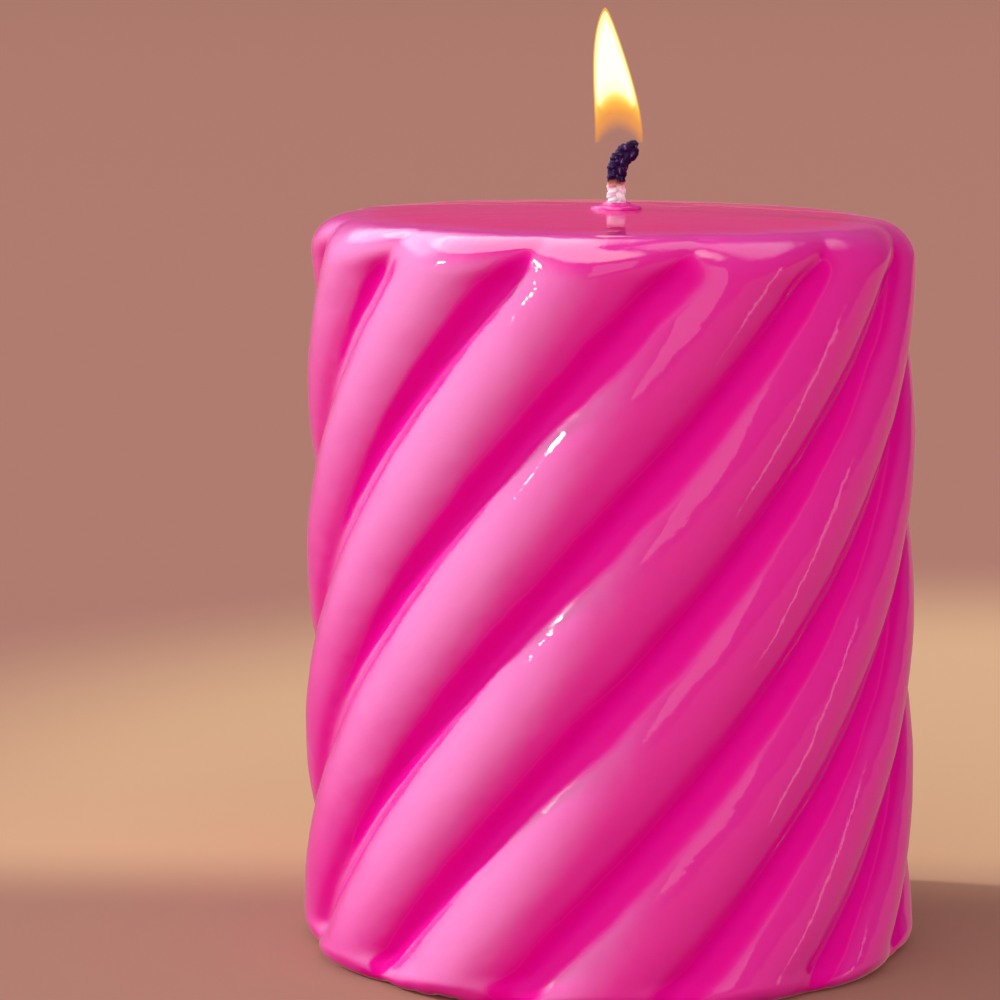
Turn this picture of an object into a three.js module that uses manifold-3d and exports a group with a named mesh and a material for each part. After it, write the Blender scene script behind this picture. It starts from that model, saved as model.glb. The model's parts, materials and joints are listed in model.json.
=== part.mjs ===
// A twisted pillar candle, lit. Millimetres, +Z up, origin at the centre of the foot, the front faces -Y.
// A pale wax core carries a dyed, lacquered coat of wax. The braided wick runs through the core's bore,
// held at the foot by a pressed tinplate tab, and burns at the top in a little molten wax.
import * as THREE from "three";
import { mergeVertices } from "three/addons/utils/BufferGeometryUtils.js";
import Module from "manifold-3d";

const wasm = await Module();
wasm.setup();

// The candle's body
const HEIGHT = 90; // foot to the middle of the top
const FOOT_CREST_RADIUS = 37.5; // over the ribs at the foot, before its edge is rounded
const TOP_CREST_RADIUS = 36.5; // over the ribs at the top, less by the mould's draft
const RIB_COUNT = 12;
const TWIST_DEG = 129; // from foot to top, counterclockwise seen from above
const RIB_PHASE_DEG = -5.2; // one crest's place at the foot, from the front towards +X
const GROOVE_DEPTH = 2.5;
const GROOVE_FILLET = 3.2; // hollow radius at the bottom of a groove
const CROWN = 0.85; // how far the top rises to its middle
const SHOULDER_RADIUS = 4.9; // round edge of the top
const FOOT_RADIUS = 2.8; // round edge of the foot
const SHOULDER_FADE = 6; // height over which the grooves run out below the top
const FOOT_FADE = 4; // height over which they run out above the foot
const FADED_GROOVE_SHARE = 0.3; // of a groove's depth, left at both ends
const COAT_THICKNESS = 1.5;

// The wick and the tab that holds it
const WICK_RADIUS = 1.2;
const WICK_OFFSET_X = 0.5; // the bore is drilled a little off the middle
const WICK_UPRIGHT = 3; // straight wick above the top
const WICK_CURL_LENGTH = 5.5; // burnt wick, along its curl
const WICK_CURL_DEG = 100; // from upright to its tip
const TAB_RADIUS = 9;
const TAB_SHEET = 0.4; // of the tinplate
const TAB_NECK_HEIGHT = 5;
const TAB_INSET = 0.3; // the tab's face above the foot

// The molten wax and the flame
const POOL_RADIUS = 3;
const POOL_RISE = 0.7; // molten wax drawn up round the wick
const FLAME_HEIGHT = 15.6;
const FLAME_RADIUS = 2.9;
const FLAME_HOLLOW = 2; // dark zone in the flame's base
const FLAME_BASE_DRIFT = 0.3; // towards +X, with the curl of the wick
const FLAME_TIP_DRIFT = -1.55;

const SEAT_GAP = 0.3; // between pieces that sit in each other

// Facets
const FACETS_PER_RIB = 8;
const INNER_FACETS_PER_RIB = 4;
const SIDE_ROWS = 14;
const EDGE_ROWS = 4;
const TOP_ROWS = 3;
const ROUND_SIDES = 32;
const WICK_SIDES = 12;
const FLAME_SIDES = 24;

const WAX_COAT = { color: 0xe0178a, roughness: 0.15, metalness: 0 };
const WAX_CORE = { color: 0xf3e6dc, roughness: 0.6, metalness: 0 };
const BRAIDED_COTTON = { color: 0x5a4650, roughness: 0.85, metalness: 0 };
const TINPLATE = { color: 0xb9bcc0, roughness: 0.35, metalness: 1 };
const MOLTEN_WAX = { color: 0xf0299c, roughness: 0.05, metalness: 0 };
const BURNING_GAS = { color: 0xffc860, roughness: 1, metalness: 0, emissive: 0xff9a20 };

const lerp = THREE.MathUtils.lerp;
const radians = THREE.MathUtils.degToRad;
const smoothstep = THREE.MathUtils.smoothstep;

function namedMesh(name, geometry, material) {
  const mesh = new THREE.Mesh(geometry, new THREE.MeshStandardMaterial(material));
  mesh.name = name;
  return mesh;
}

/** A closed geometry as a solid that can be cut. */
function solidOf(geometry) {
  const bare = geometry.clone();
  bare.deleteAttribute("normal");
  bare.deleteAttribute("uv");
  const merged = mergeVertices(bare);
  return new wasm.Manifold(
    new wasm.Mesh({
      numProp: 3,
      vertProperties: merged.attributes.position.array,
      triVerts: new Uint32Array(merged.index.array),
    }),
  );
}

/** A solid as a geometry that can be shown. */
function geometryOf(solid) {
  const mesh = solid.getMesh();
  const geometry = new THREE.BufferGeometry();
  geometry.setAttribute("position", new THREE.BufferAttribute(mesh.vertProperties, 3));
  geometry.setIndex(new THREE.BufferAttribute(mesh.triVerts, 1));
  geometry.computeVertexNormals();
  return geometry;
}

/** A profile of [radius, z] points turned about the wick's axis. */
function turned(profile, sides = ROUND_SIDES) {
  const points = profile.map(([radius, z]) => new THREE.Vector2(radius, z));
  return new THREE.LatheGeometry(points, sides).rotateX(Math.PI / 2).translate(WICK_OFFSET_X, 0, 0);
}

// The ribbed body

const RIB_ANGLE = (2 * Math.PI) / RIB_COUNT;
const SHOULDER_START = HEIGHT - CROWN - SHOULDER_RADIUS; // where the side turns into the top

/** The crest radius at a height, along the mould's draft. */
function crestRadius(z) {
  return lerp(FOOT_CREST_RADIUS, TOP_CREST_RADIUS, z / HEIGHT);
}

/** The share of a groove's full depth that is left at a height. */
function grooveShare(z) {
  const aboveFoot = smoothstep(z, 0, FOOT_FADE);
  const belowTop = smoothstep(HEIGHT - CROWN - z, 0, SHOULDER_FADE);
  return lerp(FADED_GROOVE_SHARE, 1, aboveFoot) * lerp(FADED_GROOVE_SHARE, 1, belowTop);
}

/**
 * Radius of the ribbed outline at an angle from a rib's crest. A rib's back is an arc, and an arc of
 * radius `fillet` fills the groove between two ribs, tangent to both.
 */
function ribbedRadius(crest, depth, fillet, fromCrest) {
  const halfRib = RIB_ANGLE / 2;
  const filletCentre = crest - depth + fillet;
  const across = filletCentre * Math.cos(halfRib);
  const backRadius =
    (crest ** 2 + filletCentre ** 2 - fillet ** 2 - 2 * crest * across) / (2 * (crest - across + fillet));
  const backCentre = crest - backRadius;
  const split = backRadius / (backRadius + fillet);
  const tangentAngle = Math.atan2(filletCentre * Math.sin(halfRib) * split, lerp(backCentre, across, split));
  if (Math.abs(fromCrest) <= tangentAngle) {
    const aside = backCentre * Math.sin(fromCrest);
    return backCentre * Math.cos(fromCrest) + Math.sqrt(Math.max(0, backRadius ** 2 - aside ** 2));
  }
  const fromGroove = halfRib - Math.abs(fromCrest);
  const aside = filletCentre * Math.sin(fromGroove);
  return filletCentre * Math.cos(fromGroove) - Math.sqrt(Math.max(0, fillet ** 2 - aside ** 2));
}

/**
 * The line of a rib's crest, from the foot's edge up the side and over the shoulder to the top's middle.
 * Each point holds its radius and z, the way outwards there, and the share of a groove's depth.
 */
function crestLine() {
  const line = [];
  const footEdge = crestRadius(0) - FOOT_RADIUS;
  for (let row = 0; row < EDGE_ROWS; row++) {
    const angle = (row / EDGE_ROWS) * (Math.PI / 2);
    const z = FOOT_RADIUS * (1 - Math.cos(angle));
    line.push({ radius: footEdge + FOOT_RADIUS * Math.sin(angle), z, out: 1, up: 0, share: grooveShare(z) });
  }
  for (let row = 0; row < SIDE_ROWS; row++) {
    const z = lerp(FOOT_RADIUS, SHOULDER_START, row / SIDE_ROWS);
    line.push({ radius: crestRadius(z), z, out: 1, up: 0, share: grooveShare(z) });
  }
  const shoulderCentre = crestRadius(SHOULDER_START) - SHOULDER_RADIUS;
  for (let row = 0; row <= EDGE_ROWS; row++) {
    const angle = (row / EDGE_ROWS) * (Math.PI / 2);
    const out = Math.cos(angle);
    const up = Math.sin(angle);
    const z = SHOULDER_START + SHOULDER_RADIUS * up;
    line.push({ radius: shoulderCentre + SHOULDER_RADIUS * out, z, out, up, share: grooveShare(z) });
  }
  for (let row = TOP_ROWS; row >= 0; row--) {
    const part = row / (TOP_ROWS + 1);
    line.push({ radius: shoulderCentre * part, z: HEIGHT - CROWN * part ** 2, out: 0, up: 1, share: 0 });
  }
  return line;
}

/** The twisted, ribbed body, drawn in by `inset` all over but at the foot, where it reaches to `bottom`. */
function twistedBody(inset, facetsPerRib, bottom = 0) {
  const line = crestLine();
  const heights = line.map(({ z, up }) => z - inset * up);
  const radii = line.map(({ radius, out }) => radius - inset * out);
  const foot = line[0];
  if (bottom < 0) {
    line.unshift(foot);
    heights.unshift(bottom);
    radii.unshift(radii[0]);
  }
  line.unshift(foot);
  heights.unshift(bottom);
  radii.unshift(0);

  const columns = RIB_COUNT * facetsPerRib;
  const outline = radii.map((radius, row) => new THREE.Vector2(radius, heights[row]));
  const geometry = new THREE.LatheGeometry(outline, columns);
  const position = geometry.attributes.position;
  for (let column = 0; column <= columns; column++) {
    const ribs = (column % columns) / facetsPerRib;
    const fromCrest = (ribs - Math.round(ribs)) * RIB_ANGLE;
    line.forEach(({ z, share }, row) => {
      const depth = GROOVE_DEPTH * share;
      const reach = radii[row] && ribbedRadius(radii[row], depth, GROOVE_FILLET + inset, fromCrest);
      const angle = radians(RIB_PHASE_DEG + (TWIST_DEG * z) / HEIGHT) + ribs * RIB_ANGLE;
      position.setXYZ(
        column * line.length + row,
        reach * Math.sin(angle),
        -reach * Math.cos(angle),
        heights[row],
      );
    });
  }
  return geometry;
}

// Where the pieces meet

const CUT_PAST = 5; // how far a cutter runs past what it cuts
const WICK_BORE = WICK_RADIUS + SEAT_GAP;
const TAB_TOP = TAB_INSET + TAB_SHEET;
const NECK_RADIUS = WICK_BORE + TAB_SHEET;
const NECK_TOP = TAB_TOP + TAB_NECK_HEIGHT;
const CORE_INSET = COAT_THICKNESS + SEAT_GAP;
const COAT_HOLE = POOL_RADIUS + SEAT_GAP;

/** The pale wax that burns, with the wick's bore, and the tab's seat in its foot. */
function waxCore() {
  const seat = turned([
    [0, -CUT_PAST],
    [TAB_RADIUS + SEAT_GAP, -CUT_PAST],
    [TAB_RADIUS + SEAT_GAP, TAB_TOP + SEAT_GAP],
    [NECK_RADIUS + SEAT_GAP, TAB_TOP + SEAT_GAP],
    [NECK_RADIUS + SEAT_GAP, NECK_TOP + SEAT_GAP],
    [WICK_BORE, NECK_TOP + SEAT_GAP],
    [WICK_BORE, HEIGHT + CUT_PAST],
    [0, HEIGHT + CUT_PAST],
  ]);
  return geometryOf(solidOf(twistedBody(CORE_INSET, INNER_FACETS_PER_RIB)).subtract(solidOf(seat)));
}

/** The dyed wax dipped over the core. It is open at the foot and melted away round the wick. */
function colourCoat() {
  const melted = turned([
    [0, HEIGHT - COAT_THICKNESS - CUT_PAST],
    [COAT_HOLE, HEIGHT - COAT_THICKNESS - CUT_PAST],
    [COAT_HOLE, HEIGHT + CUT_PAST],
    [0, HEIGHT + CUT_PAST],
  ]);
  const skin = solidOf(twistedBody(0, FACETS_PER_RIB));
  const hollow = solidOf(twistedBody(COAT_THICKNESS, INNER_FACETS_PER_RIB, -CUT_PAST));
  return geometryOf(skin.subtract(hollow).subtract(solidOf(melted)));
}

/** The tinplate disc with the neck that grips the wick's lower end. */
function wickTab() {
  return turned([
    [WICK_BORE, TAB_INSET],
    [TAB_RADIUS, TAB_INSET],
    [TAB_RADIUS, TAB_TOP],
    [NECK_RADIUS, TAB_TOP],
    [NECK_RADIUS, NECK_TOP],
    [WICK_BORE, NECK_TOP],
    [WICK_BORE, TAB_INSET],
  ]);
}

// The wick

const CURL_START = HEIGHT + WICK_UPRIGHT;
const CURL_ROWS = 12;

/** The wick's middle line past `CURL_START`: its points' x, z and lean, curling more and more to +X. */
function curlLine() {
  const finer = 20;
  const stride = WICK_CURL_LENGTH / (CURL_ROWS * finer);
  const points = [];
  let x = WICK_OFFSET_X;
  let z = CURL_START;
  for (let step = 0; step <= CURL_ROWS * finer; step++) {
    const lean = radians(WICK_CURL_DEG) * (step / (CURL_ROWS * finer)) ** 2;
    if (step % finer === 0) points.push({ x, z, lean });
    x += Math.sin(lean) * stride;
    z += Math.cos(lean) * stride;
  }
  return points;
}

/** The whole braid as a plain cord, from the tab's underside up through the core to its burnt tip. */
function wick() {
  const line = [{ x: WICK_OFFSET_X, z: TAB_INSET, lean: 0 }, ...curlLine()];
  const rows = [line[0], ...line, line[line.length - 1]];
  const outline = rows.map((_, row) => {
    const isEnd = row === 0 || row === rows.length - 1;
    return new THREE.Vector2(isEnd ? 0 : WICK_RADIUS, row);
  });
  const geometry = new THREE.LatheGeometry(outline, WICK_SIDES);
  const position = geometry.attributes.position;
  for (let vertex = 0; vertex < position.count; vertex++) {
    const { x, z, lean } = rows[vertex % rows.length];
    const across = position.getX(vertex);
    const back = -position.getZ(vertex);
    position.setXYZ(vertex, x + across * Math.cos(lean), back, z - across * Math.sin(lean));
  }
  return geometry;
}

/** Molten wax that fills the hole in the coat and climbs the wick. */
function meltPool() {
  const floor = HEIGHT - CORE_INSET + SEAT_GAP;
  const climbRows = 5;
  const profile = [
    [WICK_BORE, floor],
    [POOL_RADIUS, floor],
    [POOL_RADIUS, HEIGHT],
  ];
  for (let row = 1; row <= climbRows; row++) {
    const part = row / climbRows;
    profile.push([lerp(POOL_RADIUS, WICK_BORE, part), HEIGHT + POOL_RISE * part ** 2]);
  }
  profile.push([WICK_BORE, floor]);
  return turned(profile);
}

/** The burning gas over the wick: a leaning drop with a hollow in its base. */
function flame() {
  const wickTop = Math.max(...curlLine().map(({ z, lean }) => z + WICK_RADIUS * Math.sin(lean)));
  const base = wickTop + SEAT_GAP;
  const hollowRows = 4;
  const bodyRows = 10;
  const profile = [];
  for (let row = 0; row < hollowRows; row++) {
    const part = row / hollowRows;
    profile.push([FLAME_RADIUS * Math.sin(part * (Math.PI / 2)), base + FLAME_HOLLOW * (1 - part ** 2)]);
  }
  for (let row = 0; row <= bodyRows; row++) {
    const rise = row / bodyRows;
    profile.push([FLAME_RADIUS * (1 - rise ** 1.8) ** 0.85, base + FLAME_HEIGHT * rise]);
  }
  const geometry = turned(profile, FLAME_SIDES);
  const position = geometry.attributes.position;
  for (let vertex = 0; vertex < position.count; vertex++) {
    const rise = (position.getZ(vertex) - base) / FLAME_HEIGHT;
    position.setX(vertex, position.getX(vertex) + lerp(FLAME_BASE_DRIFT, FLAME_TIP_DRIFT, rise));
  }
  return geometry;
}

const candle = new THREE.Group();
candle.add(
  namedMesh("wax_core", waxCore(), WAX_CORE),
  namedMesh("colour_coat", colourCoat(), WAX_COAT),
  namedMesh("wick_tab", wickTab(), TINPLATE),
  namedMesh("wick", wick(), BRAIDED_COTTON),
  namedMesh("melt_pool", meltPool(), MOLTEN_WAX),
  namedMesh("flame", flame(), BURNING_GAS),
);

export default candle;
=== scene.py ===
"""Looks of a lit, twisted pillar candle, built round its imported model.

Metres, +Z up, the candle stands on z = 0 and its front faces -Y, as in the model. Each wax body is one
grid wrapped round the line of a crest by a geometry node tree, the wick is a plait laid along its curl,
and the flame is a nest of thin shells.
"""

import json
import logging
import math
from dataclasses import dataclass, field
from enum import Enum
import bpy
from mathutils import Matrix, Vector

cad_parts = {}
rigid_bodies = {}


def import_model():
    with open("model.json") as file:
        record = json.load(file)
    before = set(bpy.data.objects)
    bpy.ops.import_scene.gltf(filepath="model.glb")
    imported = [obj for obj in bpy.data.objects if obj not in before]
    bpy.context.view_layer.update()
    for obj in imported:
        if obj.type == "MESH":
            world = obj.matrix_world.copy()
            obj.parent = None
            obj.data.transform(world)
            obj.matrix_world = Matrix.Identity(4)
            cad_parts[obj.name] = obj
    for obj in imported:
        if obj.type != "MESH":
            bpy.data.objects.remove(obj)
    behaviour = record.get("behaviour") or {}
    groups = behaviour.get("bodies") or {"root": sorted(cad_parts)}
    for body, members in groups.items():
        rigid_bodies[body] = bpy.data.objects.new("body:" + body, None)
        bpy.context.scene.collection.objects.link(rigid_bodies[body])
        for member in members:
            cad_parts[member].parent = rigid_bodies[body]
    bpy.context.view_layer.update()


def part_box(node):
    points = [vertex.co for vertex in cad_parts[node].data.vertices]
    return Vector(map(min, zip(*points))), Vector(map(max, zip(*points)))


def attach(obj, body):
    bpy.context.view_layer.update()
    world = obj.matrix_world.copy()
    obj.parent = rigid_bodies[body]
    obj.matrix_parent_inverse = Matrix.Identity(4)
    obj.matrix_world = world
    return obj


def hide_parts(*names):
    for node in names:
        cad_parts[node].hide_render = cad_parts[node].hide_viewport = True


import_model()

from types import SimpleNamespace

import bmesh
import bpy
from mathutils import Matrix, Vector

logging.basicConfig(level=logging.INFO, format="%(message)s")
log = logging.getLogger("candle")

MM = 0.001
FULL_TURN = 2 * math.pi
QUARTER_TURN = math.pi / 2
BODY = "root"
WAX_TOP = 90 * MM
WICK_OFFSET = 0.5 * MM  # the wick stands a little off the middle, towards +X
SEAT_GAP = 0.3 * MM  # between pieces that sit in each other
SHARP_CORNER = math.radians(48)
WELD = 0.0005 * MM  # points this close become one

Span = tuple[float, float]
Colour = tuple[float, float, float, float]


class Slot(Enum):
    """The record's material slots."""

    CORE_WAX = "core_wax"
    LACQUERED_WAX = "lacquered_wax"
    TINPLATE = "tinplate"
    COTTON_BRAID = "cotton_braid"
    MOLTEN_WAX = "molten_wax"
    BURNING_GAS = "burning_gas"


def lerp(low: float, high: float, part: float) -> float:
    """The number that lies `part` of the way from `low` to `high`."""
    return low + (high - low) * part


def smoothstep(low: float, high: float, number: float) -> float:
    """0 below `low`, 1 above `high`, and a smooth rise between."""
    part = min(1.0, max(0.0, (number - low) / (high - low)))
    return part * part * (3 - 2 * part)


def linear(red: int, green: int, blue: int) -> Colour:
    """A colour as the linear one that shaders take.

    Args:
        red, green, blue: the colour as it looks on a screen, 0 to 255.

    Returns:
        The linear colour, opaque.
    """

    def channel(level: int) -> float:
        """One channel, by the screen's standard curve."""
        share = level / 255
        return share / 12.92 if share <= 0.04045 else ((share + 0.055) / 1.055) ** 2.4

    return (channel(red), channel(green), channel(blue), 1.0)


def direction(azimuth: float, elevation: float) -> Vector:
    """The unit vector towards an azimuth from the camera's side and an elevation, both in degrees."""
    turn, rise = math.radians(azimuth), math.radians(elevation)
    return Vector((math.sin(turn) * math.cos(rise), -math.cos(turn) * math.cos(rise), math.sin(rise)))


def linked(name: str, data: object) -> bpy.types.Object:
    """Adds an object to the scene's collection.

    Args:
        name: the object's name.
        data: its mesh, lamp or camera.

    Returns:
        The object.
    """
    made = bpy.data.objects.new(name, data)
    bpy.context.scene.collection.objects.link(made)
    return made


def node_radius(node: str) -> float:
    """Half of a model node's size along Y, which is its radius where it is round."""
    low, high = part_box(node)
    return (high.y - low.y) / 2


def dressed(piece: bpy.types.Object, node: str) -> bpy.types.Object:
    """Hands a finished piece to the frame.

    Args:
        piece: the object.
        node: the model's node that it stands for.

    Returns:
        The same object.
    """
    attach(piece, BODY)
    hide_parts(node)
    return piece


# Node trees


class Value:
    """A number inside a node tree that takes ordinary arithmetic."""

    def __init__(self, tree: bpy.types.NodeTree, socket: bpy.types.NodeSocket) -> None:
        """Wraps an output socket of a tree."""
        self.tree = tree
        self.socket = socket

    @staticmethod
    def feed(tree: bpy.types.NodeTree, slot: bpy.types.NodeSocket, source: "Value | object") -> None:
        """Links a value to a slot, or writes something plain on it.

        Args:
            tree: the tree that they are in.
            slot: the input.
            source: the value, or a number, colour, vector, word or object.
        """
        if isinstance(source, Value):
            tree.links.new(source.socket, slot)
        else:
            slot.default_value = source

    @staticmethod
    def maths(tree: bpy.types.NodeTree, operation: str, *numbers: "Value | float") -> "Value":
        """One math node.

        Args:
            tree: the tree that gets the node.
            operation: the node's operation.
            numbers: its inputs in order.

        Returns:
            The node's result.
        """
        node = tree.nodes.new("ShaderNodeMath")
        node.operation = operation
        for slot, number in zip(node.inputs, numbers):
            Value.feed(tree, slot, number)
        return Value(tree, node.outputs[0])

    def do(self, operation: str, *others: "Value | float") -> "Value":
        """A math node whose first input is this value."""
        return Value.maths(self.tree, operation, self, *others)

    def __add__(self, other: "Value | float") -> "Value":
        """Sum."""
        return self.do("ADD", other)

    def __sub__(self, other: "Value | float") -> "Value":
        """Difference."""
        return self.do("SUBTRACT", other)

    def __rsub__(self, other: float) -> "Value":
        """Difference from a plain number."""
        return Value.maths(self.tree, "SUBTRACT", other, self)

    def __mul__(self, other: "Value | float") -> "Value":
        """Product."""
        return self.do("MULTIPLY", other)

    def __truediv__(self, other: "Value | float") -> "Value":
        """Quotient."""
        return self.do("DIVIDE", other)

    def __rtruediv__(self, other: float) -> "Value":
        """A plain number divided by this value."""
        return Value.maths(self.tree, "DIVIDE", other, self)

    def __pow__(self, power: "Value | float") -> "Value":
        """Power."""
        return self.do("POWER", power)

    def root(self) -> "Value":
        """Square root, of nothing where the number is negative."""
        return self.do("MAXIMUM", 0.0).do("SQRT")

    def between(self, low: "Value | float", high: "Value | float") -> "Value":
        """Turns the number into a share.

        Args:
            low: where the share starts to rise from 0.
            high: where it reaches 1.

        Returns:
            The share, with a smooth rise between.
        """
        node = self.tree.nodes.new("ShaderNodeMapRange")
        node.interpolation_type = "SMOOTHSTEP"
        for name, number in (("Value", self), ("From Min", low), ("From Max", high)):
            self.feed(self.tree, node.inputs[name], number)
        return Value(self.tree, node.outputs["Result"])

    def blend(self, other: "Value | float", part: "Value | float") -> "Value":
        """This value where `part` is 0 and `other` where it is 1."""
        return self + (other - self) * part


Number = Value | float


@dataclass
class TreeKit:
    """Short ways to add nodes to a tree."""

    tree: bpy.types.NodeTree

    def node(self, kind: str, options: dict | None = None, **inputs: object) -> bpy.types.Node:
        """Adds a node.

        Args:
            kind: the node's type name.
            options: properties of the node, set before its inputs.
            inputs: input values by socket name, with _ for a space.

        Returns:
            The node.
        """
        node = self.tree.nodes.new(kind)
        for name, choice in (options or {}).items():
            setattr(node, name, choice)
        for name, source in inputs.items():
            wanted = name.replace("_", " ")
            slot = next(item for item in node.inputs if item.name == wanted and item.enabled)
            Value.feed(self.tree, slot, source)
        return node

    def value(self, kind: str, output: str = "", options: dict | None = None, **inputs: object) -> Value:
        """Adds a node and returns the output of that name, or its first one."""
        outputs = self.node(kind, options, **inputs).outputs
        return Value(self.tree, next(item for item in outputs if item.enabled and output in ("", item.name)))

    def vector(self, x: Number, y: Number, z: Number) -> Value:
        """Three numbers as a vector."""
        return self.value("ShaderNodeCombineXYZ", X=x, Y=y, Z=z)

    def parts(self, vector: Value) -> tuple[Value, Value, Value]:
        """A vector's three numbers."""
        node = self.node("ShaderNodeSeparateXYZ", Vector=vector)
        return tuple(Value(self.tree, node.outputs[axis]) for axis in "XYZ")

    def colours(self, low: Value | Colour, high: Value | Colour, part: Value) -> Value:
        """A colour that lies `part` of the way between two colours."""
        return self.value("ShaderNodeMix", "Result", {"data_type": "RGBA"}, Factor=part, A=low, B=high)

    def scaled(self, vector: Value, factor: Number) -> Value:
        """A vector made longer."""
        return self.value("ShaderNodeVectorMath", "", {"operation": "SCALE"}, Vector=vector, Scale=factor)


class ShapeTree(TreeKit):
    """A geometry node tree with named inputs, which may follow a guide line."""

    def __init__(self, name: str) -> None:
        """Starts an empty tree.

        Args:
            name: what the tree makes, in plain words.
        """
        super().__init__(bpy.data.node_groups.new(name, "GeometryNodeTree"))
        self.tree.interface.new_socket("Shape", in_out="OUTPUT", socket_type="NodeSocketGeometry")
        self.entry = self.tree.nodes.new("NodeGroupInput")
        self.exit = self.tree.nodes.new("NodeGroupOutput")
        self.settings: dict[str, object] = {}
        self.guides: list[bpy.types.Object] = []

    def given(self, name: str, setting: object) -> Value:
        """Adds a named input and what the modifier sets it to.

        Args:
            name: the input's name.
            setting: a float, an int, an object or a material.

        Returns:
            The input inside the tree.
        """
        kinds = {float: "Float", int: "Int", bpy.types.Object: "Object", bpy.types.Material: "Material"}
        kind = next(word for python_type, word in kinds.items() if isinstance(setting, python_type))
        socket = self.tree.interface.new_socket(name, in_out="INPUT", socket_type=f"NodeSocket{kind}")
        self.settings[socket.identifier] = setting
        return Value(self.tree, self.entry.outputs[name])

    def sizes(self, source: object, *names: str) -> SimpleNamespace:
        """Adds a named input for each of a sub-assembly's sizes.

        Args:
            source: the sub-assembly.
            names: which of its fields.

        Returns:
            The inputs inside the tree, by the fields' names.
        """
        inputs = {}
        for name in names:
            inputs[name] = self.given(name.replace("_", " ").capitalize(), getattr(source, name))
        return SimpleNamespace(**inputs)

    def follow(self, name: str, places: list[tuple], numbers: dict[str, list[float]]) -> None:
        """Gives the tree its guide line.

        Args:
            name: the input's name.
            places: the line's points in order.
            numbers: what its points carry, by name.
        """
        mesh = bpy.data.meshes.new(name)
        mesh.from_pydata(places, [(start, start + 1) for start in range(len(places) - 1)], [])
        for label, column in numbers.items():
            mesh.attributes.new(label, "FLOAT", "POINT").data.foreach_set("value", column)
        self.guides.append(linked(name, mesh))
        self.line = self.value("GeometryNodeObjectInfo", "Geometry", Object=self.given(name, self.guides[-1]))

    def sampled(self, kind: str, source: Value, row: Value) -> Value:
        """A field of the guide line, whose data type is `kind`, at one of the line's points."""
        options = {"data_type": kind, "domain": "POINT"}
        return self.value("GeometryNodeSampleIndex", "", options, Geometry=self.line, Value=source, Index=row)

    def line_place(self, row: Value) -> Value:
        """The place of one of the guide line's points."""
        return self.sampled("FLOAT_VECTOR", self.place(), row)

    def line_number(self, label: str, row: Value) -> Value:
        """A number that one of the guide line's points carries."""
        return self.sampled("FLOAT", self.carried(label), row)

    def place(self) -> Value:
        """Where each point is."""
        return self.value("GeometryNodeInputPosition")

    def carried(self, label: str) -> Value:
        """The number that each point carries under a name."""
        return self.value("GeometryNodeInputNamedAttribute", "", {"data_type": "FLOAT"}, Name=label)

    def sheet(self, columns: Value, rows: Value) -> tuple[Value, Value, Value]:
        """A flat grid of cells.

        Args:
            columns: cells across.
            rows: cells along.

        Returns:
            The grid, each point's share of the way across, and its row.
        """
        sizes = {"Vertices_X": columns + 1, "Vertices_Y": rows + 1}
        grid = self.value("GeometryNodeMeshGrid", "Mesh", Size_X=1.0, Size_Y=1.0, **sizes)
        across, along, _ = self.parts(self.place())
        return grid, across + 0.5, ((along + 0.5) * rows).do("ROUND")

    def noise(self, place: Value, seed: Value, detail: float) -> Value:
        """Cloudy noise from 0 to 1, the same in each run."""
        options = {"noise_dimensions": "4D"}
        return self.value("ShaderNodeTexNoise", "", options, Vector=place, W=seed, Scale=1.0, Detail=detail)

    def stored(self, shape: Value, kind: str = "FLOAT", domain: str = "POINT", **fields: Value) -> Value:
        """Keeps fields on the shape under names that materials and later nodes read.

        Args:
            shape: the geometry.
            kind: the fields' data type.
            domain: what carries them.
            fields: the fields by name.

        Returns:
            The geometry with its fields.
        """
        options = {"data_type": kind, "domain": domain}
        for name, source in fields.items():
            shape = self.value(
                "GeometryNodeStoreNamedAttribute", "", options, Geometry=shape, Name=name, Value=source
            )
        return shape

    def moved(self, shape: Value, place: Value) -> Value:
        """The shape with its points in new places, and those that meet made one."""
        moved = self.value("GeometryNodeSetPosition", Geometry=shape, Position=place)
        return self.value("GeometryNodeMergeByDistance", Geometry=moved, Distance=WELD)

    def pushed(self, shape: Value, distance: Value) -> Value:
        """The shape with each point pushed outwards."""
        offset = self.scaled(self.value("GeometryNodeInputNormal"), distance)
        return self.value("GeometryNodeSetPosition", Geometry=shape, Offset=offset)

    def joined(self, shapes: list[Value]) -> Value:
        """Joins shapes.

        Args:
            shapes: the shapes in order.

        Returns:
            All of them as one.
        """
        node = self.node("GeometryNodeJoinGeometry")
        for shape in reversed(shapes):
            self.tree.links.new(shape.socket, node.inputs[0])
        return Value(self.tree, node.outputs[0])

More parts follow.
